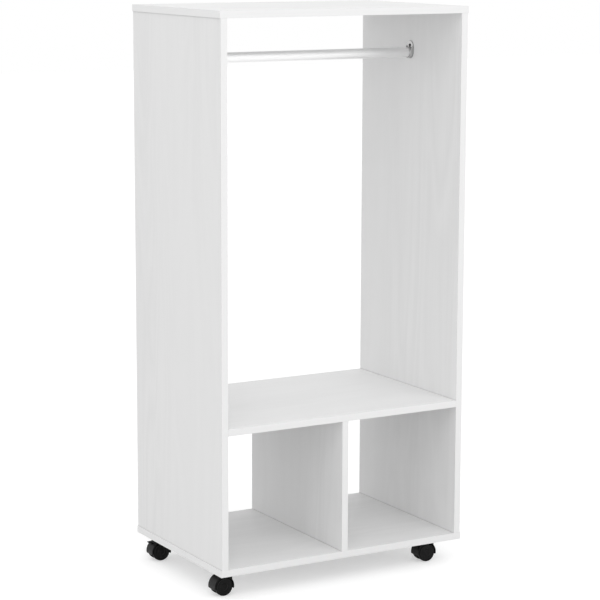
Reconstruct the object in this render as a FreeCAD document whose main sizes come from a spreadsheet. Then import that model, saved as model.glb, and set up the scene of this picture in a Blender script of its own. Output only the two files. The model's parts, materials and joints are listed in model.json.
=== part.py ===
import FreeCAD, Part
import math
import os

import Sketcher
from FreeCAD import Placement, Rotation, Vector

# Mobile wardrobe: a hanging bay with a round rail over two open cubbies, on four hooded twin-wheel castors.
# Millimetres. +Z is up, the front faces -Y, and the origin is on the floor under the middle of the cabinet.

DRIVING_SIZES = {
    # Cabinet
    "cabinet_width": 600.0,
    "cabinet_depth": 400.0,
    "cabinet_height": 1172.0,
    "board": 15.0,
    "side_inset": 2.0,
    "cubby_height": 285.5,
    "edging": 0.8,
    "edging_round": 0.4,
    "edging_joint": 0.1,
    # Hanging rail and its brackets
    "rail_drop": 107.0,
    "rail_radius": 11.0,
    "rail_wall": 1.0,
    "rail_end_play": 0.5,
    "bracket_depth": 6.5,
    "bracket_wall": 1.5,
    "bracket_play": 0.2,
    "bracket_rise": 12.5,
    "bracket_lip_low": 5.0,
    "bracket_lip_high": 15.0,
    "bracket_round": 0.6,
    "bracket_screw_up": 15.0,
    "bracket_screw_down": 3.0,
    "bracket_screw_head_radius": 3.4,
    "bracket_screw_head_height": 1.6,
    "bracket_screw_radius": 1.7,
    "bracket_screw_length": 13.0,
    # Connecting screws and their caps
    "screw_edge_gap": 50.0,
    "screw_length": 50.0,
    "screw_recess": 1.2,
    "screw_head_radius": 5.0,
    "screw_head_height": 3.0,
    "screw_shank_radius": 3.5,
    "screw_core_radius": 2.6,
    "socket_radius": 2.3,
    "socket_depth": 2.2,
    "cap_peg_radius": 1.8,
    "cap_peg_length": 1.8,
    # Drilling
    "hole_play": 0.1,
    "end_play": 1.0,
    "overrun": 1.0,
    # Dowels
    "dowel_edge_gap": 82.0,
    "dowel_radius": 4.0,
    "dowel_length": 29.0,
    "dowel_face_depth": 10.0,
    # Cam locks and their bolts
    "cam_distance": 34.0,
    "cam_radius": 7.4,
    "cam_height": 12.0,
    "cam_slot_length": 10.0,
    "cam_slot_width": 1.6,
    "cam_slot_depth": 2.0,
    "cam_bolt_head_radius": 3.2,
    "cam_bolt_head_length": 3.0,
    "cam_bolt_neck_radius": 2.2,
    "cam_bolt_thread_radius": 3.0,
    "cam_bolt_thread_length": 11.0,
    # Castor places and outer sizes
    "castor_height": 53.0,
    "castor_side_gap": 45.0,
    "castor_edge_gap": 52.0,
    "castor_trail": 18.0,
    "castor_thickness": 30.0,
    # Castor plate, stem and retaining ring
    "plate_side": 38.0,
    "plate_thickness": 2.0,
    "plate_corner": 5.0,
    "plate_hole_spacing": 28.0,
    "plate_round": 0.5,
    "dish_radius": 10.0,
    "dish_depth": 3.0,
    "plate_screw_head_radius": 3.4,
    "plate_screw_head_height": 1.8,
    "plate_screw_radius": 1.75,
    "plate_screw_length": 14.0,
    "stem_radius": 3.2,
    "stem_head_radius": 6.5,
    "stem_head_height": 2.2,
    "stem_collar_radius": 6.0,
    "stem_collar_height": 1.2,
    "stem_length": 19.8,
    "running_play": 0.05,
    "swivel_gap": 0.3,
    "ring_radius": 4.0,
    "ring_height": 1.0,
    "ring_groove_depth": 0.6,
    "ring_rise": 2.0,
    "ring_opening": 3.0,
    "ring_play": 0.3,
    # Castor hood
    "hood_gap": 1.7,
    "hood_wall": 1.8,
    "hood_front_angle": 12.0,
    "hood_back_angle": 12.0,
    "hood_round": 0.6,
    "web_thickness": 11.0,
    "web_foot": 6.0,
    "web_drop": 7.0,
    "boss_radius": 7.5,
    "boss_length": 22.5,
    "boss_round": 1.0,
    # Axle and wheels
    "axle_radius": 2.5,
    "axle_length": 26.0,
    "wheel_radius": 20.0,
    "wheel_gap": 0.4,
    "wheel_rim_wall": 3.0,
    "wheel_disc_wall": 2.2,
    "wheel_dish": 0.9,
    "wheel_round": 2.4,
    "hub_radius": 5.5,
    "hub_cap_radius": 7.0,
    "rib_thickness": 1.2,
    "rib_inset": 1.0,
    # Brake lever of the back castors
    "brake_pivot_back": 12.0,
    "brake_pivot_up": 13.0,
    "brake_angle": 50.0,
    "brake_pin_radius": 1.2,
    "brake_eye_radius": 2.8,
    "brake_neck_length": 12.0,
    "brake_neck_height": 2.4,
    "brake_neck_width": 4.4,
    "brake_paddle_width": 9.0,
    "brake_paddle_length": 6.9,
    "brake_paddle_thickness": 2.0,
    "brake_paddle_overlap": 1.5,
    "brake_paddle_fall": 0.8,
    "brake_paddle_round": 0.6,
    "brake_travel_room": 1.8,
    "brake_side_room": 0.4,
}

RIB_COUNT = 6
SOCKET_SIDES = 6
FULL_TURN = 360.0
QUARTER_TURN = 90.0
COINCIDENT = 1e-5

doc = FreeCAD.newDocument("MobileWardrobe")
sheet = doc.addObject("Spreadsheet::Sheet", "Sizes")
for row, (alias, number) in enumerate(DRIVING_SIZES.items(), start=1):
    sheet.set("A%d" % row, alias.replace("_", " "))
    sheet.set("B%d" % row, str(number))
    sheet.setAlias("B%d" % row, alias)
doc.recompute()

sub_parts = []


class Size:
    """A length: its value now, and the expression over the sheet that keeps it current."""

    def __init__(self, value, text):
        self.value = value
        self.text = text

    def __add__(self, other):
        other = as_size(other)
        return Size(self.value + other.value, "(%s + %s)" % (self.text, other.text))

    def __sub__(self, other):
        other = as_size(other)
        return Size(self.value - other.value, "(%s - %s)" % (self.text, other.text))

    def __mul__(self, other):
        other = as_size(other)
        return Size(self.value * other.value, "(%s * %s)" % (self.text, other.text))

    def __rmul__(self, factor):
        return as_size(factor) * self

    def __truediv__(self, factor):
        return Size(self.value / factor, "(%s / %s)" % (self.text, factor))

    def __neg__(self):
        return Size(-self.value, "(-1 * %s)" % self.text)


def as_size(number):
    return number if isinstance(number, Size) else Size(float(number), "(%r)" % number)


def cosine(angle):
    return Size(math.cos(math.radians(angle.value)), "cos(%s)" % angle.text)


def sine(angle):
    return Size(math.sin(math.radians(angle.value)), "sin(%s)" % angle.text)


class DrivingSizes:
    """The sheet's cells by name, as sizes."""

    def __getattr__(self, alias):
        return Size(DRIVING_SIZES[alias], "Sizes." + alias)


d = DrivingSizes()
ZERO = Size(0.0, "0")


# Places that several sub-parts share

half_width = d.cabinet_width / 2
half_depth = d.cabinet_depth / 2
top_face = d.castor_height + d.cabinet_height
top_underside = top_face - d.board
bottom_face = d.castor_height + d.board
side_height = top_underside - bottom_face
side_x = half_width - d.side_inset - d.board / 2
inner_x = side_x - d.board / 2
shelf_underside = bottom_face + d.cubby_height
rail_z = top_face - d.rail_drop
core_depth = d.cabinet_depth - 2 * d.edging
screw_y = half_depth - d.screw_edge_gap
dowel_y = half_depth - d.dowel_edge_gap
cam_x = inner_x - d.cam_distance
castor_x = half_width - d.castor_side_gap
castor_y = half_depth - d.castor_edge_gap
pilot_radius = d.screw_core_radius + d.hole_play
pilot_depth = d.screw_length - d.board + d.end_play
dowel_hole_radius = d.dowel_radius + d.hole_play
dowel_end_depth = d.dowel_length - d.dowel_face_depth


# Helpers that make bodies, sketches and features

def new_body(label, groups=False):
    body = doc.addObject("PartDesign::Body", label)
    body.Label = label
    body.AllowCompound = groups
    sub_parts.append(body)
    return body


def place(body, x, y, z, turn=None):
    """Put a body at a bound place, turned about its own origin."""
    body.Placement = Placement(Vector(x.value, y.value, z.value), turn or Rotation())
    body.setExpression(".Placement.Base.x", x.text)
    body.setExpression(".Placement.Base.y", y.text)
    body.setExpression(".Placement.Base.z", z.text)


def new_sketch(body, role, level):
    """A sketch on one of the body's own origin planes, moved along the plane's normal to a level."""
    plane = [feature for feature in body.Origin.OriginFeatures if feature.Role == role][0]
    sketch = body.newObject("Sketcher::SketchObject", "Sketch")
    sketch.AttachmentSupport = [(plane, "")]
    sketch.MapMode = "FlatFace"
    sketch.setExpression(".AttachmentOffset.Base.z", level.text)
    return sketch


def constrain(sketch, size, *constraint):
    index = sketch.addConstraint(Sketcher.Constraint(*constraint, size.value))
    sketch.setExpression("Constraints[%d]" % index, size.text)


def pin(sketch, geometry, point, x, y):
    """Hold one point of the sketch at bound coordinates."""
    for kind, axis, size in (("DistanceX", -2, x), ("DistanceY", -1, y)):
        if size is ZERO:
            sketch.addConstraint(Sketcher.Constraint("PointOnObject", geometry, point, axis))
        else:
            constrain(sketch, size, kind, geometry, point)


def circle(sketch, x, y, radius):
    shape = Part.Circle(Vector(x.value, y.value, 0), Vector(0, 0, 1), radius.value)
    geometry = sketch.addGeometry(shape, False)
    pin(sketch, geometry, 3, x, y)
    constrain(sketch, radius, "Radius", geometry)


def outline(sketch, corners, arc_centres=None):
    """A closed outline. A side that starts at a corner in arc_centres is an anticlockwise arc."""
    arc_centres = arc_centres or {}
    count = len(corners)
    ends = []
    for index, (x, y) in enumerate(corners):
        next_x, next_y = corners[(index + 1) % count]
        start = Vector(x.value, y.value, 0)
        end = Vector(next_x.value, next_y.value, 0)
        if index not in arc_centres:
            ends.append(sketch.addGeometry(Part.LineSegment(start, end), False))
            continue
        centre = Vector(arc_centres[index][0].value, arc_centres[index][1].value, 0)
        ring = Part.Circle(centre, Vector(0, 0, 1), (start - centre).Length)
        first, last = [math.atan2(point.y - centre.y, point.x - centre.x) for point in (start, end)]
        if last <= first:
            last += 2 * math.pi
        ends.append(sketch.addGeometry(Part.ArcOfCircle(ring, first, last), False))
    for index, (x, y) in enumerate(corners):
        following = ends[(index + 1) % count]
        sketch.addConstraint(Sketcher.Constraint("Coincident", ends[index], 2, following, 1))
        pin(sketch, ends[index], 1, x, y)
    for index, (centre_x, centre_y) in arc_centres.items():
        start = corners[index]
        end = corners[(index + 1) % count]
        width = abs(end[0].value - start[0].value)
        height = abs(end[1].value - start[1].value)
        if width > height:
            constrain(sketch, centre_y, "DistanceY", ends[index], 3)
        else:
            constrain(sketch, centre_x, "DistanceX", ends[index], 3)


def rectangle(sketch, low_x, low_y, high_x, high_y):
    outline(sketch, [(low_x, low_y), (high_x, low_y), (high_x, high_y), (low_x, high_y)])


def pad(body, sketch, length, reverse=False):
    feature = body.newObject("PartDesign::Pad", "Pad")
    feature.Profile = sketch
    feature.Reversed = reverse
    feature.setExpression("Length", length.text)
    return feature


def pocket(body, sketch, depth, along_normal=False):
    """Cut against the sketch's normal, or along it."""
    feature = body.newObject("PartDesign::Pocket", "Pocket")
    feature.Profile = sketch
    feature.Reversed = along_normal
    feature.setExpression("Length", depth.text)
    return feature


def turned(body, sketch, kind):
    """Turn a sketch round its own upright axis, adding or cutting."""
    feature = body.newObject(kind, "Turned")
    feature.Profile = sketch
    feature.ReferenceAxis = (sketch, ["V_Axis"])
    feature.Angle = FULL_TURN
    return feature


def fillet(body, radius, picks):
    """Round the edges of the body that the test picks."""
    base = body.Tip
    doc.recompute([base])
    names = ["Edge%d" % (index + 1) for index, edge in enumerate(base.Shape.Edges) if picks(edge)]
    feature = body.newObject("PartDesign::Fillet", "Fillet")
    feature.Base = (base, names)
    feature.setExpression("Radius", radius.text)


def rods(body, role, level, centres, radius, length, heading):
    """Round rods on the centres, from a level of the plane along its normal (1) or against it (-1)."""
    sketch = new_sketch(body, role, level)
    for x, y in centres:
        circle(sketch, x, y, radius)
    pad(body, sketch, length, heading < 0)


def drill(body, role, level, centres, radius, depth, heading):
    """Round holes on the centres, cut from a level of the plane along its normal (1) or against it (-1)."""
    sketch = new_sketch(body, role, level)
    for x, y in centres:
        circle(sketch, x, y, radius)
    pocket(body, sketch, depth, heading > 0)


def four_ways(x, y):
    return [(sign_x * x, sign_y * y) for sign_x in (-1, 1) for sign_y in (-1, 1)]


def both_ways(x, y):
    """The front and back places on a board that lies flat, or on an upright board's end."""
    return [(x, -y), (x, y)]


def both_ways_across(y, z):
    """The front and back places at one height, on a board's side face."""
    return [(-y, z), (y, z)]


def same(number, size):
    """Whether a coordinate has the size, on either side of zero."""
    return abs(abs(number) - abs(size.value)) < COINCIDENT


# Boards

top_screw_centres = four_ways(side_x, screw_y)
bottom_screw_centres = four_ways(side_x, screw_y) + both_ways(ZERO, screw_y)


def flat_board(label, length, height):
    """A board that lies flat. Its local origin is the middle of its underside."""
    body = new_body(label)
    sketch = new_sketch(body, "XY_Plane", ZERO)
    rectangle(sketch, -length / 2, -core_depth / 2, length / 2, core_depth / 2)
    pad(body, sketch, d.board)
    place(body, ZERO, ZERO, height)
    return body


def upright_board(label, height, x):
    """A board that stands on the bottom board. Its local origin is the middle of its lower end."""
    body = new_body(label)
    sketch = new_sketch(body, "XY_Plane", ZERO)
    rectangle(sketch, -d.board / 2, -core_depth / 2, d.board / 2, core_depth / 2)
    pad(body, sketch, height)
    place(body, x, ZERO, bottom_face)
    return body


def screw_holes(body, face, centres, heading):
    """Sunk clearance holes for connecting screws, from a board's outer face."""
    head_depth = d.screw_recess + d.screw_head_height
    drill(body, "XY_Plane", face, centres, d.screw_head_radius + d.hole_play, head_depth, heading)
    drill(body, "XY_Plane", face, centres, d.screw_shank_radius + d.hole_play, d.board + d.overrun, heading)


def make_top_panel():
    body = flat_board("top_panel", d.cabinet_width - 2 * d.edging, top_underside)
    screw_holes(body, d.board, top_screw_centres, -1)
    drill(body, "XY_Plane", ZERO, four_ways(side_x, dowel_y), dowel_hole_radius, d.dowel_face_depth, 1)


def make_bottom_panel():
    body = flat_board("bottom_panel", d.cabinet_width - 2 * d.edging, d.castor_height)
    screw_holes(body, ZERO, bottom_screw_centres, 1)
    dowels = four_ways(side_x, dowel_y) + both_ways(ZERO, dowel_y)
    drill(body, "XY_Plane", d.board, dowels, dowel_hole_radius, d.dowel_face_depth, -1)
    depth = d.plate_screw_length - d.plate_thickness + d.hole_play
    drill(body, "XY_Plane", ZERO, plate_screw_centres(), d.plate_screw_radius + d.hole_play, depth, 1)


def make_side_panel(side, name):
    """A side board. side is -1 on the left and 1 on the right."""
    body = upright_board(name + "_side_panel", side_height, side * side_x)
    for level, heading in ((ZERO, 1), (side_height, -1)):
        drill(body, "XY_Plane", level, both_ways(ZERO, screw_y), pilot_radius, pilot_depth, heading)
        drill(body, "XY_Plane", level, both_ways(ZERO, dowel_y), dowel_hole_radius, dowel_end_depth, heading)
    inner_face = -side * d.board / 2
    shelf_middle = d.cubby_height + d.board / 2
    bolts = both_ways_across(screw_y, shelf_middle)
    depth = d.cam_bolt_thread_length + d.hole_play
    drill(body, "YZ_Plane", inner_face, bolts, d.cam_bolt_thread_radius + d.hole_play, depth, side)
    dowels = both_ways_across(dowel_y, shelf_middle)
    drill(body, "YZ_Plane", inner_face, dowels, dowel_hole_radius, d.dowel_face_depth, side)
    screws = bracket_screw_centres(rail_z - bottom_face)
    depth = d.bracket_screw_length - d.bracket_wall + d.hole_play
    drill(body, "YZ_Plane", inner_face, screws, d.bracket_screw_radius + d.hole_play, depth, side)


def make_middle_shelf():
    body = flat_board("middle_shelf", 2 * inner_x, shelf_underside)
    drill(body, "XY_Plane", ZERO, four_ways(cam_x, screw_y), d.cam_radius + d.hole_play, d.cam_height, 1)
    drill(body, "XY_Plane", ZERO, both_ways(ZERO, dowel_y), dowel_hole_radius, d.dowel_face_depth, 1)
    for side in (-1, 1):
        bolts = both_ways_across(screw_y, d.board / 2)
        bore = d.cam_bolt_head_radius + d.hole_play
        drill(body, "YZ_Plane", side * inner_x, bolts, bore, d.cam_distance, -side)
        dowels = both_ways_across(dowel_y, d.board / 2)
        drill(body, "YZ_Plane", side * inner_x, dowels, dowel_hole_radius, dowel_end_depth, -side)


def make_centre_divider():
    body = upright_board("centre_divider", d.cubby_height, ZERO)
    drill(body, "XY_Plane", ZERO, both_ways(ZERO, screw_y), pilot_radius, pilot_depth, 1)
    for level, heading in ((ZERO, 1), (d.cubby_height, -1)):
        drill(body, "XY_Plane", level, both_ways(ZERO, dowel_y), dowel_hole_radius, dowel_end_depth, heading)


# Edging strips

def make_edging(label, length, height, x, z, all_round):
    """Strips on the front and back edges of a board, and on its ends too where it is edged all round."""
    body = new_body(label, groups=True)
    sketch = new_sketch(body, "XY_Plane", ZERO)
    reach = core_depth / 2 - d.edging_joint
    for low_y, high_y in ((-half_depth, -core_depth / 2), (core_depth / 2, half_depth)):
        rectangle(sketch, -length / 2, low_y, length / 2, high_y)
    if all_round:
        for low_x, high_x in ((-half_width, d.edging - half_width), (half_width - d.edging, half_width)):
            rectangle(sketch, low_x, -reach, high_x, reach)
    pad(body, sketch, height)
    place(body, x, ZERO, z)

    def outer_long_edge(edge):
        points = [vertex.Point for vertex in edge.Vertexes]
        front_or_back = all(same(point.y, half_depth) for point in points)
        at_an_end = all_round and all(same(point.x, half_width) for point in points)
        crosses = abs(points[0].x - points[1].x) > COINCIDENT
        return (front_or_back or (at_an_end and not crosses)) and edge.Length > d.board.value + d.edging.value

    fillet(body, d.edging_round, outer_long_edge)


def make_all_edging():
    make_edging("top_panel_edging", d.cabinet_width, d.board, ZERO, top_underside, True)
    make_edging("bottom_panel_edging", d.cabinet_width, d.board, ZERO, d.castor_height, True)
    make_edging("left_side_edging", d.board, side_height, -side_x, bottom_face, False)
    make_edging("right_side_edging", d.board, side_height, side_x, bottom_face, False)
    make_edging("middle_shelf_edging", 2 * inner_x, d.board, ZERO, shelf_underside, False)
    make_edging("centre_divider_edging", d.board, d.cubby_height, ZERO, bottom_face, False)


# Screws, caps, dowels and cam locks

def hexagon(sketch, x, y, radius):
    corners = []
    for index in range(SOCKET_SIDES):
        angle = 2 * math.pi * index / SOCKET_SIDES
        corners.append((x + math.cos(angle) * radius, y + math.sin(angle) * radius))
    outline(sketch, corners)


def make_board_screws(label, face_height, centres, heading):
    """Connecting screws with a hexagon socket, sunk in a board's face, heading up (1) or down (-1)."""
    body = new_body(label, groups=True)
    head_depth = d.screw_recess + d.screw_head_height
    stages = (
        (d.screw_recess, d.screw_head_radius, d.screw_head_height),
        (head_depth, d.screw_shank_radius, d.board - head_depth),
        (d.board, d.screw_core_radius, d.screw_length - d.board),
    )
    for start, radius, length in stages:
        rods(body, "XY_Plane", heading * start, centres, radius, length, heading)
    sketch = new_sketch(body, "XY_Plane", heading * d.screw_recess)
    for x, y in centres:
        hexagon(sketch, x, y, d.socket_radius)
    pocket(body, sketch, d.socket_depth, heading > 0)
    place(body, ZERO, ZERO, face_height)


def make_screw_caps():
    """Caps that lie flush in the top board over the screws, each with a peg in the screw's socket."""
    body = new_body("top_screw_caps", groups=True)
    rods(body, "XY_Plane", ZERO, top_screw_centres, d.screw_head_radius, d.screw_recess, -1)
    rods(body, "XY_Plane", -d.screw_recess, top_screw_centres, d.cap_peg_radius, d.cap_peg_length, -1)
    place(body, ZERO, ZERO, top_face)


def make_dowels():
    body = new_body("wood_dowels", groups=True)
    sides = four_ways(side_x, dowel_y)
    middle = both_ways(ZERO, dowel_y)
    low = d.board - d.dowel_face_depth
    rods(body, "XY_Plane", low, sides + middle, d.dowel_radius, d.dowel_length, 1)
    high = d.cabinet_height - d.board + d.dowel_face_depth
    rods(body, "XY_Plane", high, sides, d.dowel_radius, d.dowel_length, -1)
    shelf = d.board + d.cubby_height
    rods(body, "XY_Plane", shelf + d.dowel_face_depth, middle, d.dowel_radius, d.dowel_length, -1)
    ends = both_ways_across(dowel_y, shelf + d.board / 2)
    for side in (-1, 1):
        start = side * (inner_x + d.dowel_face_depth)
        rods(body, "YZ_Plane", start, ends, d.dowel_radius, d.dowel_length, -side)
    place(body, ZERO, ZERO, d.castor_height)


def make_cam_locks():
    body = new_body("cam_locks", groups=True)
    centres = four_ways(cam_x, screw_y)
    rods(body, "XY_Plane", ZERO, centres, d.cam_radius, d.cam_height, 1)
    bolts = both_ways_across(screw_y, d.board / 2)
    bore = d.cam_bolt_head_radius + d.hole_play
    for side in (-1, 1):
        start = cam_x - d.cam_bolt_head_length / 2 - d.hole_play
        drill(body, "YZ_Plane", side * start, bolts, bore, d.cam_radius + d.cam_bolt_head_length, side)
    sketch = new_sketch(body, "XY_Plane", ZERO)
    for x, y in centres:
        half_length = d.cam_slot_length / 2
        half_slot = d.cam_slot_width / 2
        rectangle(sketch, x - half_length, y - half_slot, x + half_length, y + half_slot)
    pocket(body, sketch, d.cam_slot_depth, True)
    place(body, ZERO, ZERO, shelf_underside)


def make_cam_bolts():
    body = new_body("cam_bolts", groups=True)
    places = both_ways_across(screw_y, ZERO)
    for side in (-1, 1):
        head_start = cam_x - d.cam_bolt_head_length / 2
        neck_start = cam_x + d.cam_bolt_head_length / 2
        stages = (
            (head_start, d.cam_bolt_head_radius, d.cam_bolt_head_length),
            (neck_start, d.cam_bolt_neck_radius, inner_x - neck_start),
            (inner_x, d.cam_bolt_thread_radius, d.cam_bolt_thread_length),
        )
        for start, radius, length in stages:
            rods(body, "YZ_Plane", side * start, places, radius, length, side)
    place(body, ZERO, ZERO, shelf_underside + d.board / 2)


# Hanging rail and its brackets

def bracket_screw_centres(axis_height):
    return [(ZERO, axis_height + d.bracket_screw_up), (ZERO, axis_height - d.bracket_screw_down)]


def make_hanging_rail():
    body = new_body("hanging_rail")
    length = 2 * (inner_x - d.bracket_wall - d.rail_end_play)
    sketch = new_sketch(body, "YZ_Plane", -length / 2)
    circle(sketch, ZERO, ZERO, d.rail_radius)
    circle(sketch, ZERO, ZERO, d.rail_radius - d.rail_wall)
    pad(body, sketch, length)
    place(body, ZERO, ZERO, rail_z)


def make_rail_bracket(side, name):
    """An open cup for the rail's end on a plate with a rounded top. Its local +X faces the side board."""
    body = new_body(name + "_rail_bracket")
    cup_radius = d.rail_radius + d.bracket_play
    radius = cup_radius + d.bracket_wall
    depth = d.bracket_depth + d.bracket_wall
    rise = d.bracket_rise

    sketch = new_sketch(body, "YZ_Plane", ZERO)
    outline(sketch, [(radius, rise), (-radius, rise), (-radius, ZERO), (radius, ZERO)],
            {0: (ZERO, rise), 2: (ZERO, ZERO)})
    pad(body, sketch, depth, True)

    top = rise + radius + d.overrun
    sketch = new_sketch(body, "YZ_Plane", -d.bracket_wall)
    outline(sketch, [(cup_radius, top), (-cup_radius, top), (-cup_radius, ZERO), (cup_radius, ZERO)],
            {2: (ZERO, ZERO)})
    pocket(body, sketch, depth)

    # The cup's two legs slope back to the plate above the rail, which leads the rail in
    outside = -depth - d.overrun
    sketch = new_sketch(body, "XZ_Plane", -radius - d.overrun)
    outline(sketch, [(outside, d.bracket_lip_low), (-depth, d.bracket_lip_low),
                     (-d.bracket_wall, d.bracket_lip_high), (-d.bracket_wall, top), (outside, top)])
    pocket(body, sketch, 2 * (radius + d.overrun), True)

    screw_hole = d.bracket_screw_radius + d.hole_play
    drill(body, "YZ_Plane", ZERO, bracket_screw_centres(ZERO), screw_hole, depth, -1)

    def outer_rim(edge):
        round_or_long = edge.Length > 2 * d.bracket_wall.value
        return round_or_long and all(same(vertex.X, depth) for vertex in edge.Vertexes)

    fillet(body, d.bracket_round, outer_rim)
    turn = Rotation(Vector(0, 0, 1), 0 if side > 0 else 2 * QUARTER_TURN)
    place(body, side * inner_x, ZERO, rail_z, turn)


def make_bracket_screws():
    """Pan-head screws through both brackets' plates into the side boards."""
    body = new_body("rail_bracket_screws", groups=True)
    places = bracket_screw_centres(ZERO)
    plate_face = inner_x - d.bracket_wall
    for side in (-1, 1):
        head = d.bracket_screw_head_radius, d.bracket_screw_head_height
        rods(body, "YZ_Plane", side * plate_face, places, *head, -side)
        shank = d.bracket_screw_radius, d.bracket_screw_length
        rods(body, "YZ_Plane", side * plate_face, places, *shank, side)
    place(body, ZERO, ZERO, rail_z)


# Castors

web_half = d.web_thickness / 2
castor_half = d.castor_thickness / 2
wheel_thickness = castor_half - web_half - d.wheel_gap
well_radius = d.wheel_radius + d.hood_gap
hood_radius = well_radius + d.hood_wall
dish_underside = d.castor_height - d.plate_thickness - d.dish_depth
collar_underside = dish_underside - d.stem_collar_height
boss_top = collar_underside - d.swivel_gap
axle_x = -d.castor_trail
axle_z = d.wheel_radius
brake_x = axle_x - d.brake_pivot_back
brake_z = axle_z + d.brake_pivot_up

CASTORS = {
    "front_left": (-1, -1),
    "front_right": (1, -1),
    "back_left": (-1, 1),
    "back_right": (1, 1),
}
BRAKED_CASTORS = ("back_left", "back_right")


def castor_centres():
    return [(side * castor_x, end * castor_y) for side, end in CASTORS.values()]


def plate_screw_centres():
    steps = four_ways(d.plate_hole_spacing / 2, d.plate_hole_spacing / 2)
    return [(x + step_x, y + step_y) for x, y in castor_centres() for step_x, step_y in steps]


def make_plate_screws():
    """Pan-head screws from under the castor plates into the bottom board."""
    body = new_body("castor_plate_screws", groups=True)
    centres = plate_screw_centres()
    rods(body, "XY_Plane", ZERO, centres, d.plate_screw_head_radius, d.plate_screw_head_height, -1)
    rods(body, "XY_Plane", ZERO, centres, d.plate_screw_radius, d.plate_screw_length, 1)
    place(body, ZERO, ZERO, d.castor_height - d.plate_thickness)


def make_plate(name, x, y):
    """A square plate, pressed down in a dish round the stem. Its local origin is in its top face."""
    body = new_body(name + "_plate")
    half_side = d.plate_side / 2
    sketch = new_sketch(body, "XY_Plane", ZERO)
    rectangle(sketch, -half_side, -half_side, half_side, half_side)
    pad(body, sketch, d.plate_thickness, True)
    centre = [(ZERO, ZERO)]
    dish_reach = d.plate_thickness + d.dish_depth
    rods(body, "XY_Plane", ZERO, centre, d.dish_radius, dish_reach, -1)
    drill(body, "XY_Plane", ZERO, centre, d.dish_radius - d.plate_thickness, d.dish_depth, -1)
    drill(body, "XY_Plane", ZERO, centre, d.stem_radius + d.running_play, dish_reach + d.overrun, -1)
    reach = d.plate_hole_spacing / 2
    hole_radius = d.plate_screw_radius + 2 * d.hole_play
    drill(body, "XY_Plane", ZERO, four_ways(reach, reach), hole_radius, d.plate_thickness + d.overrun, -1)

    def corner_edge(edge):
        at_corner = all(same(vertex.X, half_side) and same(vertex.Y, half_side) for vertex in edge.Vertexes)
        return at_corner and same(edge.Length, d.plate_thickness)

    fillet(body, d.plate_corner, corner_edge)

    def dish_rim(edge):
        circle_edge = edge.Curve.TypeId == "Part::GeomCircle"
        return circle_edge and same(edge.Curve.Radius, d.dish_radius) and same(edge.BoundBox.ZMin, dish_reach)

    fillet(body, d.plate_round, dish_rim)
    place(body, x, y, d.castor_height)


def make_stem(name, x, y):
    """A riveted stem: head in the plate's dish, collar under it, and a groove near its lower end."""
    body = new_body(name + "_stem")
    head_top = d.plate_thickness + d.stem_head_height
    collar = -d.stem_collar_height
    tail = collar - d.stem_length
    groove_low = tail + d.ring_rise
    groove_high = groove_low + d.ring_height + 2 * d.running_play
    groove_radius = d.stem_radius - d.ring_groove_depth
    sketch = new_sketch(body, "XZ_Plane", ZERO)
    outline(sketch, [
        (ZERO, tail), (d.stem_radius, tail), (d.stem_radius, groove_low), (groove_radius, groove_low),
        (groove_radius, groove_high), (d.stem_radius, groove_high), (d.stem_radius, collar),
        (d.stem_collar_radius, collar), (d.stem_collar_radius, ZERO), (d.stem_radius, ZERO),
        (d.stem_radius, d.plate_thickness), (d.stem_head_radius, d.plate_thickness),
        (d.stem_head_radius, head_top), (ZERO, head_top),
    ])
    turned(body, sketch, "PartDesign::Revolution")
    place(body, x, y, dish_underside)


def make_stem_ring(name, x, y):
    """A split ring in the stem's groove, which keeps the hood on the stem."""
    body = new_body(name + "_stem_ring")
    inner_radius = d.stem_radius - d.ring_groove_depth + d.running_play
    sketch = new_sketch(body, "XY_Plane", ZERO)
    circle(sketch, ZERO, ZERO, d.ring_radius)
    circle(sketch, ZERO, ZERO, inner_radius)
    pad(body, sketch, d.ring_height)
    sketch = new_sketch(body, "XY_Plane", ZERO)
    rectangle(sketch, ZERO, -d.ring_opening / 2, d.ring_radius + d.overrun, d.ring_opening / 2)
    pocket(body, sketch, d.ring_height, True)
    place(body, x, y, collar_underside - d.stem_length + d.ring_rise + d.running_play)


def along_brake(outward, upward):
    """A point of the brake lever's side view, measured along and across its neck from its pin."""
    x = -outward * cosine(d.brake_angle) + upward * sine(d.brake_angle)
    z = outward * sine(d.brake_angle) + upward * cosine(d.brake_angle)
    return x, z


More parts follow.
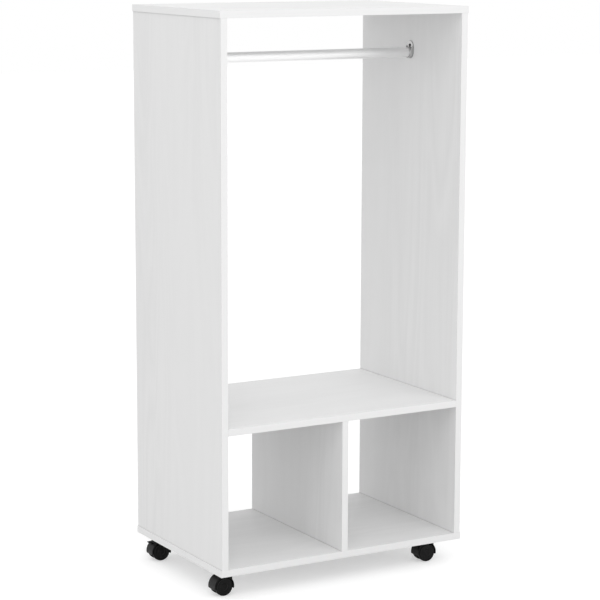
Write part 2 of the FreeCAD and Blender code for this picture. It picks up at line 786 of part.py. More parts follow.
def make_hood(name, x, y):
    """The moulded hood: a curved band over both wheels, a web between them and a boss round the stem."""
    body = new_body(name + "_hood")

    # Side outline, right across both wheels
    sketch = new_sketch(body, "XZ_Plane", -castor_half)
    front_x = axle_x + hood_radius * cosine(d.hood_front_angle)
    front_z = axle_z - hood_radius * sine(d.hood_front_angle)
    back_x = axle_x - hood_radius * cosine(d.hood_back_angle)
    back_z = axle_z - hood_radius * sine(d.hood_back_angle)
    foot_z = axle_z - d.web_drop
    outline(sketch, [(front_x, front_z), (back_x, back_z), (axle_x - d.web_foot, foot_z),
                     (axle_x + d.web_foot, foot_z)], {0: (axle_x, axle_z)})
    pad(body, sketch, d.castor_thickness)

    rods(body, "XY_Plane", boss_top, [(ZERO, ZERO)], d.boss_radius, d.boss_length, -1)

    # The two wheel wells leave the band and the web
    wheel_centre = [(axle_x, axle_z)]
    well_depth = castor_half - web_half + d.overrun
    for end in (-1, 1):
        drill(body, "XZ_Plane", end * (castor_half + d.overrun), wheel_centre, well_radius, well_depth, -end)

    # Bore for the stem, with a recess for its ring
    bore_radius = d.stem_radius + d.running_play
    tail = collar_underside - d.stem_length
    drill(body, "XY_Plane", boss_top, [(ZERO, ZERO)], bore_radius, boss_top - tail + d.end_play, -1)
    recess_low = tail + d.ring_rise - d.ring_play
    recess_high = recess_low + d.ring_height + 2 * (d.ring_play + d.running_play)
    recess_radius = d.ring_radius + d.ring_play
    sketch = new_sketch(body, "XZ_Plane", ZERO)
    rectangle(sketch, ZERO, recess_low, recess_radius, recess_high)
    turned(body, sketch, "PartDesign::Groove")

    drill_web(body, axle_x, axle_z, d.axle_radius + d.running_play)

    if name in BRAKED_CASTORS:
        cut_brake_slot(body)

    def band_edge(edge):
        round_edge = edge.Curve.TypeId == "Part::GeomCircle" and same(edge.Curve.Radius, hood_radius)
        return round_edge and same(edge.BoundBox.YMin, castor_half)

    fillet(body, d.hood_round, band_edge)

    def boss_edge(edge):
        round_edge = edge.Curve.TypeId == "Part::GeomCircle" and same(edge.Curve.Radius, d.boss_radius)
        return round_edge and same(edge.BoundBox.ZMin, boss_top)

    fillet(body, d.boss_round, boss_edge)
    place(body, x, y, ZERO)


def drill_web(body, x, z, radius):
    """A hole right through the hood's web."""
    drill(body, "XZ_Plane", web_half + d.overrun, [(x, z)], radius, d.web_thickness + 2 * d.overrun, -1)


def cut_brake_slot(body):
    """A slot through the band and into the web for the brake lever's neck, and a hole across for its pin."""
    slot_width = d.brake_neck_width + 2 * d.brake_side_room
    eye = d.brake_eye_radius + d.brake_side_room
    high = d.brake_neck_height / 2 + d.brake_side_room
    low = -d.brake_neck_height / 2 - d.brake_travel_room
    far = d.brake_neck_length
    corners = [along_brake(-eye, -eye), along_brake(-eye, eye), along_brake(eye, eye),
               along_brake(far, high), along_brake(far, low), along_brake(eye, -eye)]
    sketch = new_sketch(body, "XZ_Plane", -slot_width / 2)
    outline(sketch, [(brake_x + step_x, brake_z + step_z) for step_x, step_z in corners])
    pocket(body, sketch, slot_width, True)
    drill_web(body, brake_x, brake_z, d.brake_pin_radius + d.running_play)


def make_axle(name, x, y):
    body = new_body(name + "_axle")
    rods(body, "XZ_Plane", -d.axle_length / 2, [(ZERO, ZERO)], d.axle_radius, d.axle_length, 1)
    place(body, x + axle_x, y, axle_z)


def make_wheel(name, x, y, facing):
    """A hollow moulded wheel. Its local +Z points out of the castor, which is -Y (-1) or +Y (1) at rest."""
    body = new_body(name)
    bore = d.axle_radius + d.running_play
    bore_depth = d.axle_length / 2 - web_half - d.wheel_gap + d.running_play
    rim_inside = d.wheel_radius - d.wheel_rim_wall
    face = wheel_thickness
    dish = face - d.wheel_dish
    disc_inside = dish - d.wheel_disc_wall
    shoulder = d.wheel_radius - d.wheel_round
    sketch = new_sketch(body, "XZ_Plane", ZERO)
    outline(sketch, [
        (bore, ZERO), (d.hub_radius, ZERO), (d.hub_radius, disc_inside), (rim_inside, disc_inside),
        (rim_inside, ZERO), (shoulder, ZERO), (d.wheel_radius, d.wheel_round),
        (d.wheel_radius, face - d.wheel_round), (shoulder, face), (rim_inside, face),
        (rim_inside - d.wheel_dish, dish), (d.hub_cap_radius + d.wheel_dish, dish),
        (d.hub_cap_radius, face), (ZERO, face), (ZERO, bore_depth), (bore, bore_depth),
    ], {5: (shoulder, d.wheel_round), 7: (shoulder, face - d.wheel_round)})
    turned(body, sketch, "PartDesign::Revolution")

    # Ribs inside, from the hub to the rim
    overlap = d.rib_thickness / 2
    sketch = new_sketch(body, "XY_Plane", d.rib_inset)
    rectangle(sketch, d.hub_radius - overlap, -d.rib_thickness / 2, rim_inside + overlap, d.rib_thickness / 2)
    rib = pad(body, sketch, disc_inside - d.rib_inset)
    pattern = body.newObject("PartDesign::PolarPattern", "Ribs")
    pattern.Originals = [rib]
    pattern.Axis = (sketch, ["N_Axis"])
    pattern.Angle = FULL_TURN
    pattern.Occurrences = RIB_COUNT
    body.Tip = pattern

    turn = Rotation(Vector(1, 0, 0), -facing * QUARTER_TURN)
    place(body, x + axle_x, y + facing * (web_half + d.wheel_gap), axle_z, turn)


def make_brake_lever(name, x, y):
    """A lever on a pin in the hood's web, with a flat paddle behind the hood. Its origin is on the pin."""
    body = new_body(name + "_brake_lever")
    half_neck = d.brake_neck_height / 2
    neck_width = d.brake_neck_width
    rods(body, "XZ_Plane", -neck_width / 2, [(ZERO, ZERO)], d.brake_eye_radius, neck_width, 1)
    neck_end = d.brake_neck_length + half_neck
    corners = [along_brake(ZERO, half_neck), along_brake(neck_end, half_neck),
               along_brake(neck_end, -half_neck), along_brake(ZERO, -half_neck)]
    sketch = new_sketch(body, "XZ_Plane", -neck_width / 2)
    outline(sketch, corners)
    pad(body, sketch, neck_width)

    end_x, end_z = along_brake(neck_end, half_neck)
    paddle_start = end_x + d.brake_paddle_overlap
    paddle_end = end_x - d.brake_paddle_length
    thickness = d.brake_paddle_thickness
    fall = d.brake_paddle_fall
    sketch = new_sketch(body, "XZ_Plane", -d.brake_paddle_width / 2)
    outline(sketch, [(paddle_start, end_z - thickness), (paddle_start, end_z),
                     (paddle_end, end_z - fall), (paddle_end, end_z - fall - thickness)])
    pad(body, sketch, d.brake_paddle_width)

    pin_hole = d.brake_pin_radius + d.running_play
    through = neck_width + 2 * d.overrun
    drill(body, "XZ_Plane", neck_width / 2 + d.overrun, [(ZERO, ZERO)], pin_hole, through, -1)

    def paddle_edge(edge):
        return all(vertex.X < paddle_start.value and same(vertex.Y, d.brake_paddle_width / 2)
                   for vertex in edge.Vertexes)

    fillet(body, d.brake_paddle_round, paddle_edge)
    place(body, x + brake_x, y, brake_z)


def make_brake_pin(name, x, y):
    body = new_body(name + "_brake_pin")
    length = d.web_thickness
    rods(body, "XZ_Plane", -length / 2, [(ZERO, ZERO)], d.brake_pin_radius, length, 1)
    place(body, x + brake_x, y, brake_z)


def make_castor(name, side, end):
    """One castor at rest, trailing to the left. end is -1 at the front and 1 at the back."""
    x = side * castor_x
    y = end * castor_y
    make_plate(name, x, y)
    make_stem(name, x, y)
    make_stem_ring(name, x, y)
    make_hood(name, x, y)
    make_axle(name, x, y)
    make_wheel(name + "_outer_wheel", x, y, end)
    make_wheel(name + "_inner_wheel", x, y, -end)
    if name in BRAKED_CASTORS:
        make_brake_lever(name, x, y)
        make_brake_pin(name, x, y)


def check_document():
    """Stop if any object failed, any cut cut nothing, or any sub-part has no sound shape."""
    faults = []
    for item in doc.Objects:
        if "Invalid" in item.State or "Error" in item.State:
            faults.append("%s of %s failed" % (item.Name, [owner.Label for owner in item.InList]))
        elif item.TypeId in ("PartDesign::Pocket", "PartDesign::Groove"):
            if item.Shape.Volume >= item.BaseFeature.Shape.Volume:
                faults.append("%s of %s cuts nothing" % (item.Name, [owner.Label for owner in item.InList]))
    for body in sub_parts:
        if body.Shape.isNull() or not body.Shape.isValid() or not body.Shape.Solids:
            faults.append("%s has no sound shape" % body.Label)
    if faults:
        raise RuntimeError("; ".join(faults))


make_top_panel()
make_bottom_panel()
make_side_panel(-1, "left")
make_side_panel(1, "right")
make_middle_shelf()
make_centre_divider()
make_all_edging()
make_board_screws("top_panel_screws", top_face, top_screw_centres, -1)
make_board_screws("bottom_panel_screws", d.castor_height, bottom_screw_centres, 1)
make_screw_caps()
make_dowels()
make_cam_locks()
make_cam_bolts()
make_hanging_rail()
make_rail_bracket(-1, "left")
make_rail_bracket(1, "right")
make_bracket_screws()
make_plate_screws()
for castor_name, (castor_side, castor_end) in CASTORS.items():
    make_castor(castor_name, castor_side, castor_end)

doc.recompute()
check_document()
os.makedirs("parts", exist_ok=True)
for sub_part in sub_parts:
    sub_part.Shape.exportStep("parts/%s.step" % sub_part.Label)
    box = sub_part.Shape.optimalBoundingBox()
    extent = (box.XMin, box.YMin, box.ZMin, box.XMax, box.YMax, box.ZMax)
    print("%-28s %d solid(s)  " % (sub_part.Label, len(sub_part.Shape.Solids)) + "%8.2f" * 6 % extent)
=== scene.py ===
import bpy
import json
import math
from mathutils import Matrix, Vector


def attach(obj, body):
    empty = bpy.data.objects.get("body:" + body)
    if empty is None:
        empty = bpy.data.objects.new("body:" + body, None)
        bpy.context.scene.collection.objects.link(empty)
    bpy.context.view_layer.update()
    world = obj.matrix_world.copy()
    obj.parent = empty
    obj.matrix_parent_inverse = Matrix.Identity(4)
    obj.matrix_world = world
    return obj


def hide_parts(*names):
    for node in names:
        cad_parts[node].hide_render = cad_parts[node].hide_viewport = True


# Dresses the mobile wardrobe: white melamine boards with a fine grain, satin edging, a chromed rail in two
# brackets, cross-recessed screws, and hooded black castors.
# Lengths are in metres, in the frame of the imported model.

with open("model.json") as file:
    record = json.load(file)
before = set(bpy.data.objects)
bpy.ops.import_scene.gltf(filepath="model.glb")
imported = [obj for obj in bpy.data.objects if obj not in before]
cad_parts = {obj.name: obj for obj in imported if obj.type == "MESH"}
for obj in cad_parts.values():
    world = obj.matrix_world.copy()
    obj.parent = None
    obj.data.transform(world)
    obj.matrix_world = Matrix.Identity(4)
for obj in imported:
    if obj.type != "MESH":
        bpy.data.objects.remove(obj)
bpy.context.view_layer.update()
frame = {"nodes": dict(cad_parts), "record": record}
nodes = frame["nodes"]

MM = 0.001

# Cabinet, with its sizes as in the model
CABINET_HALF_WIDTH = 300 * MM
CABINET_HALF_DEPTH = 200 * MM
EDGING = 0.8 * MM
FLAT_BOARDS = ("top_panel", "bottom_panel", "middle_shelf")
UPRIGHT_BOARDS = ("left_side_panel", "right_side_panel", "centre_divider")

# Width of the glue line, and how far from a joint the painted shade of its crease reaches
GLUE_LINE = 0.25 * MM
CREASE_SHADE_REACH = 3.0 * MM

# Pan-head screws, with their places and sizes as in the model
BRACKET_PLATE_FACE = 281.5 * MM
RAIL_HEIGHT = 1118.0 * MM
BRACKET_SCREW_STEPS = (15.0 * MM, -3.0 * MM)
BRACKET_SCREW = {
    "head_radius": 3.4 * MM,
    "head_height": 1.6 * MM,
    "shank_radius": 1.7 * MM,
    "length": 13.0 * MM,
}
CASTOR_X = 255.0 * MM
CASTOR_Y = 148.0 * MM
PLATE_HOLE_STEP = 14.0 * MM
PLATE_UNDERSIDE = 51.0 * MM
PLATE_SCREW = {
    "head_radius": 3.4 * MM,
    "head_height": 1.8 * MM,
    "shank_radius": 1.75 * MM,
    "length": 14.0 * MM,
}


# Nodes of materials and of the world

# Where most values of a noise lie, and where the occlusion in a crease does, which is turned into painted
# crease shade
NOISE_LOW = 0.3
NOISE_HIGH = 0.7
CREASE_SHADE_LOW = 0.45
CREASE_SHADE_HIGH = 0.95
CREASE_SHADE_SAMPLES = 12


def grey(level, warmth=0.0):
    return (level * (1 + warmth), level, level * (1 - warmth), 1)


class Nodes:
    """Short names for making the nodes of a material or a world."""

    def __init__(self, owner):
        owner.use_nodes = True
        self.tree = owner.node_tree
        self.tree.nodes.clear()

    def node(self, kind, inputs=(), **settings):
        """A node with its settings, and its inputs linked or set by name or number."""
        made = self.tree.nodes.new("ShaderNode" + kind)
        for key, value in settings.items():
            setattr(made, key, value)
        for key, value in dict(inputs).items():
            if isinstance(value, bpy.types.NodeSocket):
                self.tree.links.new(value, made.inputs[key])
            else:
                made.inputs[key].default_value = value
        return made

    def math(self, operation, *values):
        return self.node("Math", enumerate(values), operation=operation).outputs["Value"]

    def remap(self, value, low, high, to_low=0.0, to_high=1.0):
        inputs = {"Value": value, "From Min": low, "From Max": high, "To Min": to_low, "To Max": to_high}
        return self.node("MapRange", inputs).outputs["Result"]

    def seen_rays(self):
        """1 for rays of the camera, of reflections and through glass, and 0 for those that carry light."""
        path = self.node("LightPath").outputs
        seen = self.math("MAXIMUM", path["Is Camera Ray"], path["Is Glossy Ray"])
        return self.math("MAXIMUM", seen, path["Is Transmission Ray"])


class Surface(Nodes):
    """A new material with one Principled shader, whose constants are given by name."""

    def __init__(self, name, **constants):
        self.material = bpy.data.materials.new(name)
        super().__init__(self.material)
        named = {socket.replace("_", " "): value for socket, value in constants.items()}
        self.shader = self.node("BsdfPrincipled", named)
        self.node("OutputMaterial", {"Surface": self.shader.outputs["BSDF"]})

    def feed(self, socket, value):
        self.tree.links.new(value, self.shader.inputs[socket])

    def place(self, scale=(1, 1, 1)):
        """Object coordinates in metres, stretched by a scale."""
        coordinates = self.node("TexCoord").outputs["Object"]
        return self.node("Mapping", {"Vector": coordinates, "Scale": scale}).outputs["Vector"]

    def noise(self, vector, scale, detail=2.0, roughness=0.5, distortion=0.0):
        """Noise whose scale says how many features a metre has."""
        inputs = {"Vector": vector, "Scale": scale, "Detail": detail, "Roughness": roughness,
                  "Distortion": distortion}
        return self.node("TexNoise", inputs).outputs["Fac"]

    def blend(self, factor, first, second):
        """One colour turning into another."""
        return self.node("Mix", {0: factor, 6: first, 7: second}, data_type="RGBA").outputs[2]

    def painted_crease_shade(self):
        """Painted shade from ambient occlusion: 0 in the joints, where pieces meet, and 1 a few millimetres
        away.
        """
        occlusion = self.node("AmbientOcclusion", {"Distance": CREASE_SHADE_REACH}, samples=CREASE_SHADE_SAMPLES).outputs["AO"]
        return self.remap(occlusion, CREASE_SHADE_LOW, CREASE_SHADE_HIGH)

    def finish(self, noise, at_low, at_high):
        """Roughness that turns from one value to another with a noise."""
        self.feed("Roughness", self.remap(noise, NOISE_LOW, NOISE_HIGH, at_low, at_high))

    def bump(self, height, depth, strength, under=None):
        inputs = {"Height": height, "Distance": depth, "Strength": strength}
        if under is not None:
            inputs["Normal"] = under
        return self.node("Bump", inputs).outputs["Normal"]


# Materials

def stretched(along, share):
    """A scale that draws noise out along one axis."""
    scale = [1.0, 1.0, 1.0]
    scale[along] = share
    return scale


def melamine(name, along):
    """White melamine with a faint printed and pressed grain that runs along one axis."""
    paper = grey(0.838)
    print_grey = grey(0.790)
    # Colour of the painted shade that darkens the board in its creases, where pieces meet
    painted_joint_shade = grey(0.62)
    streak_share = 0.55
    ring_share = 0.30
    pore_share = 0.15
    ring_count = 11.0
    plain_share = 0.35
    surface = Surface(name, IOR=1.5, Specular_IOR_Level=0.3)
    place = surface.place(stretched(along, share=0.035))
    pores = surface.noise(place, scale=900, detail=3.0, roughness=0.6)
    streaks = surface.noise(place, scale=130, detail=4.0, roughness=0.62, distortion=0.4)
    broad_place = surface.place(stretched(along, share=0.12))
    figure = surface.noise(broad_place, scale=9, detail=2.0, roughness=0.45, distortion=1.2)
    rings = surface.math("PINGPONG", surface.math("MULTIPLY", figure, ring_count), 1.0)
    figured = surface.remap(surface.noise(broad_place, scale=5, detail=1.0), low=0.42, high=0.62)
    grain = surface.math("ADD", surface.math("MULTIPLY", streaks, streak_share),
                         surface.math("MULTIPLY", rings, ring_share))
    grain = surface.math("ADD", grain, surface.math("MULTIPLY", pores, pore_share))
    strength = surface.remap(figured, 0, 1, plain_share, 1.0)
    shade = surface.math("MULTIPLY", surface.remap(grain, low=0.3, high=0.8), strength)
    printed = surface.blend(shade, paper, print_grey)
    # The printed colour turns to the painted crease shade near joints
    surface.feed("Base Color", surface.blend(surface.painted_crease_shade(), painted_joint_shade, printed))
    surface.finish(streaks, at_low=0.62, at_high=0.50)
    pressed = surface.bump(pores, depth=0.12 * MM, strength=0.3)
    surface.feed("Normal", surface.bump(streaks, depth=0.3 * MM, strength=0.15, under=pressed))
    return surface.material


def edging_strip():
    """Satin edging with a fine glue line where it meets the board."""
    dark = grey(0.835)
    pale = grey(0.86)
    glue_grey = grey(0.48)
    # Colour of the painted shade in the creases where the edging meets other pieces
    painted_joint_shade = grey(0.64)
    surface = Surface("edging", IOR=1.5, Specular_IOR_Level=0.4)
    corner = surface.node("SeparateXYZ", {"Vector": surface.place()}).outputs
    past_side = surface.math("SUBTRACT", surface.math("ABSOLUTE", corner["X"]), CABINET_HALF_WIDTH - EDGING)
    past_front = surface.math("SUBTRACT", surface.math("ABSOLUTE", corner["Y"]), CABINET_HALF_DEPTH - EDGING)
    past_board = surface.math("MAXIMUM", past_side, past_front)
    glue = surface.math("LESS_THAN", past_board, GLUE_LINE)
    mottle = surface.noise(surface.place(), scale=420, detail=3.0, roughness=0.6)
    glued = surface.blend(glue, surface.blend(mottle, dark, pale), glue_grey)
    # The edging's colour turns to the painted crease shade near joints
    surface.feed("Base Color", surface.blend(surface.painted_crease_shade(), painted_joint_shade, glued))
    surface.finish(mottle, at_low=0.42, at_high=0.52)
    surface.feed("Normal", surface.bump(mottle, depth=0.08 * MM, strength=0.4))
    return surface.material


def plated(name, level, smooth, rough, marks_scale, marks_depth, tint=0.8, crease_shade_share=1.0):
    """Plated metal with faint polishing marks. Painted shade in a crease has a share of the metal's own
    level.
    """
    mark_share = 0.97
    surface = Surface(name, Metallic=1.0, Specular_Tint=grey(tint))
    marks = surface.noise(surface.place(), scale=marks_scale, detail=4.0, roughness=0.6)
    polished = surface.blend(marks, grey(level * mark_share), grey(level))
    surface.feed("Base Color", surface.blend(surface.painted_crease_shade(), grey(level * crease_shade_share), polished))
    surface.finish(marks, smooth, rough)
    surface.feed("Normal", surface.bump(marks, marks_depth, strength=0.5))
    return surface.material


def drawn_tube():
    """The rail's chromed tube, with the fine marks of its drawing along it."""
    dull = grey(0.96)
    bright = grey(0.99)
    surface = Surface("rail_chrome", Metallic=1.0, Specular_Tint=grey(0.9), Anisotropic=0.85)
    place = surface.place(stretched(along=0, share=0.02))
    marks = surface.noise(place, scale=1400, detail=4.0, roughness=0.6)
    surface.feed("Base Color", surface.blend(marks, dull, bright))
    surface.finish(marks, at_low=0.40, at_high=0.46)
    surface.feed("Tangent", surface.node("Tangent", direction_type="RADIAL", axis="X").outputs["Tangent"])
    surface.feed("Normal", surface.bump(marks, depth=0.01 * MM, strength=0.3))
    return surface.material


def burnished_steel():
    """Dark screws, brighter where a driver has rubbed them."""
    dark = grey(0.05)
    bright = grey(0.22, warmth=0.02)
    surface = Surface("burnished_steel", Metallic=1.0, Specular_Tint=grey(0.5))
    rubbed = surface.noise(surface.place(), scale=1500, detail=4.0, roughness=0.65)
    surface.feed("Base Color", surface.blend(surface.remap(rubbed, low=0.5, high=0.75), dark, bright))
    surface.finish(rubbed, at_low=0.42, at_high=0.30)
    surface.feed("Normal", surface.bump(rubbed, depth=0.02 * MM, strength=0.5))
    return surface.material


def castor_plastic():
    """Black moulded plastic with a fine eroded texture and a little dust in it."""
    black = grey(0.005)
    dusty = grey(0.0095)
    surface = Surface("castor_plastic", IOR=1.49, Specular_IOR_Level=0.2)
    fine = surface.noise(surface.place(), scale=2600, detail=2.0, roughness=0.6)
    cloud = surface.noise(surface.place(), scale=90, detail=3.0, roughness=0.55)
    surface.feed("Base Color", surface.blend(surface.remap(cloud, low=0.45, high=0.8), black, dusty))
    surface.finish(cloud, at_low=0.40, at_high=0.50)
    surface.feed("Normal", surface.bump(fine, depth=0.05 * MM, strength=0.5))
    return surface.material


def wheel_plastic():
    """Moulded wheels: a satin disc, and a tread that is scuffed grey by the floor."""
    black = grey(0.004)
    scuffed = grey(0.03, warmth=0.03)
    disc_roughness = 0.34
    tread_roughness = 0.22
    surface = Surface("wheel_plastic", IOR=1.49, Specular_IOR_Level=0.15)
    facing = surface.node("SeparateXYZ", {"Vector": surface.node("TexCoord").outputs["Normal"]})
    sideways = surface.math("ABSOLUTE", facing.outputs["Y"])
    tread = surface.remap(sideways, low=0.35, high=0.1)
    scuffs = surface.noise(surface.place(), scale=380, detail=4.0, roughness=0.65)
    worn = surface.math("MULTIPLY", tread, surface.remap(scuffs, low=0.4, high=0.75))
    surface.feed("Base Color", surface.blend(worn, black, scuffed))
    rougher = surface.math("MULTIPLY", tread, tread_roughness)
    surface.feed("Roughness", surface.math("ADD", disc_roughness, rougher))
    fine = surface.noise(surface.place(), scale=1900, detail=2.0, roughness=0.6)
    surface.feed("Normal", surface.bump(fine, depth=0.04 * MM, strength=0.4))
    return surface.material


def beech():
    dark = (0.62, 0.45, 0.27, 1)
    pale = (0.78, 0.62, 0.42, 1)
    surface = Surface("dowel_wood", IOR=1.45)
    place = surface.place(stretched(along=2, share=0.15))
    grain = surface.noise(place, scale=700, detail=4.0, roughness=0.6, distortion=0.5)
    surface.feed("Base Color", surface.blend(grain, dark, pale))
    surface.finish(grain, at_low=0.6, at_high=0.75)
    surface.feed("Normal", surface.bump(grain, depth=0.1 * MM, strength=0.6))
    return surface.material


def cap_plastic():
    dark = grey(0.80)
    pale = grey(0.83)
    surface = Surface("cap_plastic", IOR=1.46)
    mottle = surface.noise(surface.place(), scale=900, detail=2.0, roughness=0.6)
    surface.feed("Base Color", surface.blend(mottle, dark, pale))
    surface.finish(mottle, at_low=0.42, at_high=0.52)
    surface.feed("Normal", surface.bump(mottle, depth=0.05 * MM, strength=0.4))
    return surface.material


melamine_flat = melamine("melamine_flat", along=0)
melamine_upright = melamine("melamine_upright", along=2)
FINISHES = {
    "edging": edging_strip(),
    "rail_chrome": drawn_tube(),
    # The bracket's creases are darkened to 0.3 of its level with painted shade
    "bracket_chrome": plated("bracket_chrome", level=0.60, smooth=0.14, rough=0.24, marks_scale=500,
                             marks_depth=0.03 * MM, tint=0.2, crease_shade_share=0.3),
    "cap_plastic": cap_plastic(),
    "screw_steel": plated("screw_steel", level=0.70, smooth=0.22, rough=0.36, marks_scale=1200,
                          marks_depth=0.03 * MM),
    "cam_metal": plated("cam_metal", level=0.60, smooth=0.36, rough=0.52, marks_scale=1500,
                        marks_depth=0.06 * MM),
    "dowel_wood": beech(),
    "zinc_plate": plated("zinc_plate", level=0.66, smooth=0.28, rough=0.44, marks_scale=260,
                         marks_depth=0.04 * MM),
    "castor_plastic": castor_plastic(),
    "wheel_plastic": wheel_plastic(),
}

slots = {part["node"]: part["material_slot"] for part in frame["record"]["subparts"]}
for name, obj in nodes.items():
    if name in FLAT_BOARDS:
        finish = melamine_flat
    elif name in UPRIGHT_BOARDS:
        finish = melamine_upright
    else:
        finish = FINISHES[slots[name]]
    for slot in obj.material_slots:
        slot.material = finish


# Pan-head screws with a cross recess, in place of the model's plain ones

SCREW_SIDES = 64
SHANK_SHARE = 0.75
SHARP_ANGLE = math.radians(40)
# Rings of a head from its rim to near its middle, as shares of its radius and height
HEAD_RINGS = ((1.0, 0.0), (1.0, 0.35), (0.96, 0.62), (0.86, 0.84), (0.72, 0.96),
              (0.62, 1.0), (0.56, 1.0), (0.50, 1.0), (0.44, 1.0), (0.38, 1.0),
              (0.32, 1.0), (0.26, 1.0), (0.20, 1.0), (0.14, 1.0), (0.07, 1.0))
# The cross recess, as shares of the head's radius, and its depth as a share of the head's height
RECESS_REACH = 0.56
RECESS_HALF_WIDTH = 0.13
RECESS_SLOPE = 0.07
SLOPE_MIDDLE = 0.5
RECESS_DEPTH = 0.8


def recess(across, along):
    """Depth of the cross recess at a point of the head, as a share of the head's height."""
    wide, long = sorted((abs(across), abs(along)))
    side = min(1.0, max(0.0, (RECESS_HALF_WIDTH - wide) / RECESS_SLOPE + SLOPE_MIDDLE))
    end = min(1.0, max(0.0, (RECESS_REACH - long) / RECESS_SLOPE))
    return RECESS_DEPTH * side * end


def screw_shape(head_radius, head_height, shank_radius, length):
    """Points and faces of a screw that stands on its seat, with its head above and its shank below."""
    angles = [math.tau * step / SCREW_SIDES for step in range(SCREW_SIDES)]
    rings = [[(shank_radius, -depth)] * SCREW_SIDES for depth in (length * SHANK_SHARE, 0.0)]
    for share, height in HEAD_RINGS:
        drops = [recess(share * math.cos(angle), share * math.sin(angle)) for angle in angles]
        rings.append([(head_radius * share, head_height * height - head_height * drop) for drop in drops])
    points = [(radius * math.cos(angle), radius * math.sin(angle), height)
              for ring in rings for angle, (radius, height) in zip(angles, ring)]
    sides = [(step, (step + 1) % SCREW_SIDES) for step in range(SCREW_SIDES)]
    faces = []
    last = len(points) - SCREW_SIDES
    for below in range(0, last, SCREW_SIDES):
        above = below + SCREW_SIDES
        faces += [(below + step, below + after, above + after, above + step) for step, after in sides]
    tip = len(points)
    middle = tip + 1
    points += [(0.0, 0.0, -length), (0.0, 0.0, head_height * (1 - RECESS_DEPTH))]
    for step, after in sides:
        faces += [(after, step, tip), (last + step, last + after, middle)]
    return points, faces


def screws(name, node, finish, sizes, seats):
    """One piece with a screw at each seat, turned so that its head points the seat's way."""
    shape, shape_faces = screw_shape(**sizes)
    points = []
    faces = []
    for place, outward in seats:
        turn = Vector(outward).to_track_quat("Z", "Y")
        start = len(points)
        points += [Vector(place) + turn @ Vector(point) for point in shape]
        faces += [tuple(start + corner for corner in face) for face in shape_faces]
    mesh = bpy.data.meshes.new(name)
    mesh.from_pydata(points, [], faces)
    mesh.shade_smooth()
    mesh.set_sharp_from_angle(angle=SHARP_ANGLE)
    mesh.materials.append(finish)
    piece = bpy.data.objects.new(name, mesh)
    bpy.context.scene.collection.objects.link(piece)
    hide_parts(node)
    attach(piece, "cabinet")


bracket_seats = [((side * BRACKET_PLATE_FACE, 0.0, RAIL_HEIGHT + step), (-side, 0, 0))
                 for side in (-1, 1) for step in BRACKET_SCREW_STEPS]
plate_seats = [((x + step_x, y + step_y, PLATE_UNDERSIDE), (0, 0, -1))
               for x in (-CASTOR_X, CASTOR_X)
               for y in (-CASTOR_Y, CASTOR_Y)
               for step_x in (-PLATE_HOLE_STEP, PLATE_HOLE_STEP)
               for step_y in (-PLATE_HOLE_STEP, PLATE_HOLE_STEP)]
screws("bracket_pan_screws", "rail_bracket_screws", burnished_steel(), BRACKET_SCREW, bracket_seats)
screws("castor_pan_screws", "castor_plate_screws", FINISHES["screw_steel"], PLATE_SCREW, plate_seats)


# Floor, lamps and camera

FLOOR_SIDE = 30.0
FLOOR_LEVEL = 0.70
FLOOR_LIFT = 0.45
WORLD_LIGHT = 0.90
WORLD_SEEN = 1.0
LAMP_TARGET = (0, 0, 0.6)
# Place of each square lamp, its side in metres and its power in watts
LAMPS = {
    "front_softbox": ((-2.0, -4.2, 1.85), 2.4, 14),
    "high_softbox": ((-1.5, -2.6, 3.6), 2.0, 17),
    "left_softbox": ((-4.0, -1.1, 2.1), 2.2, 6),
    "right_softbox": ((0.9, -2.4, 2.3), 1.2, 8),
}


def stage_floor():
    """A pale floor that the camera sees as white where no shadow falls."""
    half = FLOOR_SIDE / 2
    corners = [(-half, -half, 0), (half, -half, 0), (half, half, 0), (-half, half, 0)]
    mesh = bpy.data.meshes.new("floor")
    mesh.from_pydata(corners, [], [(0, 1, 2, 3)])
    floor = bpy.data.objects.new("floor", mesh)
    bpy.context.scene.collection.objects.link(floor)
    material = bpy.data.materials.new("floor")
    paint = Nodes(material)
    diffuse = paint.node("BsdfDiffuse", {"Color": grey(FLOOR_LEVEL)})
    glow = paint.node("Emission", {"Strength": paint.math("MULTIPLY", paint.seen_rays(), FLOOR_LIFT)})
    total = paint.node("AddShader", {0: diffuse.outputs[0], 1: glow.outputs[0]})
    paint.node("OutputMaterial", {"Surface": total.outputs[0]})
    mesh.materials.append(material)


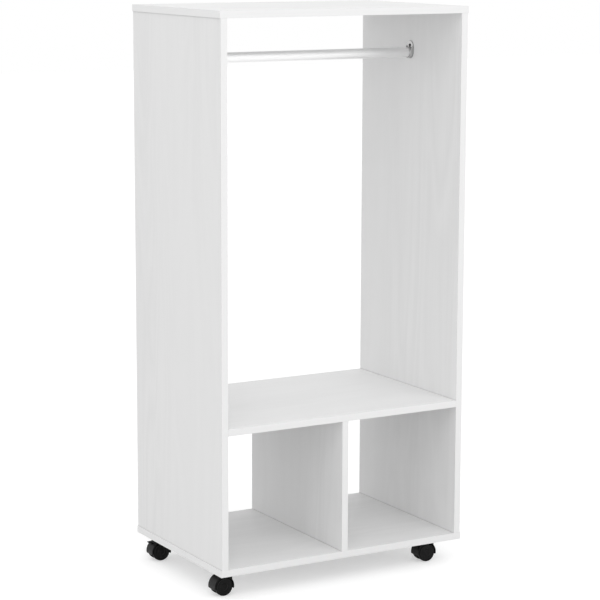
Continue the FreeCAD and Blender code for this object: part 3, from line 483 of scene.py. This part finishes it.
def studio_world():
    """Even light from all round, which the camera and the metal see as white."""
    world = bpy.data.worlds.new("studio")
    bpy.context.scene.world = world
    sky = Nodes(world)
    strength = sky.remap(sky.seen_rays(), 0, 1, WORLD_LIGHT, WORLD_SEEN)
    background = sky.node("Background", {"Color": grey(1), "Strength": strength})
    sky.node("OutputWorld", {"Surface": background.outputs[0]})


def softbox(name, place, side, power):
    light = bpy.data.lights.new(name, "AREA")
    light.shape = "RECTANGLE"
    light.size = side
    light.size_y = side
    light.energy = power
    lamp = bpy.data.objects.new(name, light)
    bpy.context.scene.collection.objects.link(lamp)
    lamp.location = place
    lamp.rotation_euler = (Vector(LAMP_TARGET) - Vector(place)).to_track_quat("-Z", "Y").to_euler()


stage_floor()
studio_world()
for lamp_name, (place, side, power) in LAMPS.items():
    softbox(lamp_name, place, side, power)

# The camera stands where the cabinet's corners in the photograph say
CAMERA_PLACE = (-2.33134, -4.0214, 1.39265)
CAMERA_YAW = 0.525939
CAMERA_PITCH = 0.171945
CAMERA_ROLL = 0.003145
FOCAL_PIXELS = 2156.63
FRAME_PIXELS = 600
SENSOR = 36.0

camera_data = bpy.data.cameras.new("camera")
camera_data.sensor_fit = "HORIZONTAL"
camera_data.sensor_width = SENSOR
camera_data.lens = SENSOR * FOCAL_PIXELS / FRAME_PIXELS
camera = bpy.data.objects.new("camera", camera_data)
bpy.context.scene.collection.objects.link(camera)
forward = Vector((math.sin(CAMERA_YAW) * math.cos(CAMERA_PITCH),
                  math.cos(CAMERA_YAW) * math.cos(CAMERA_PITCH),
                  -math.sin(CAMERA_PITCH)))
level = Vector((math.cos(CAMERA_YAW), -math.sin(CAMERA_YAW), 0))
upward = level.cross(forward)
right = math.cos(CAMERA_ROLL) * level + math.sin(CAMERA_ROLL) * upward
up = math.cos(CAMERA_ROLL) * upward - math.sin(CAMERA_ROLL) * level
camera.matrix_world = Matrix.Translation(CAMERA_PLACE) @ Matrix((right, up, -forward)).transposed().to_4x4()
bpy.context.scene.camera = camera

bpy.context.scene.view_settings.view_transform = "Standard"
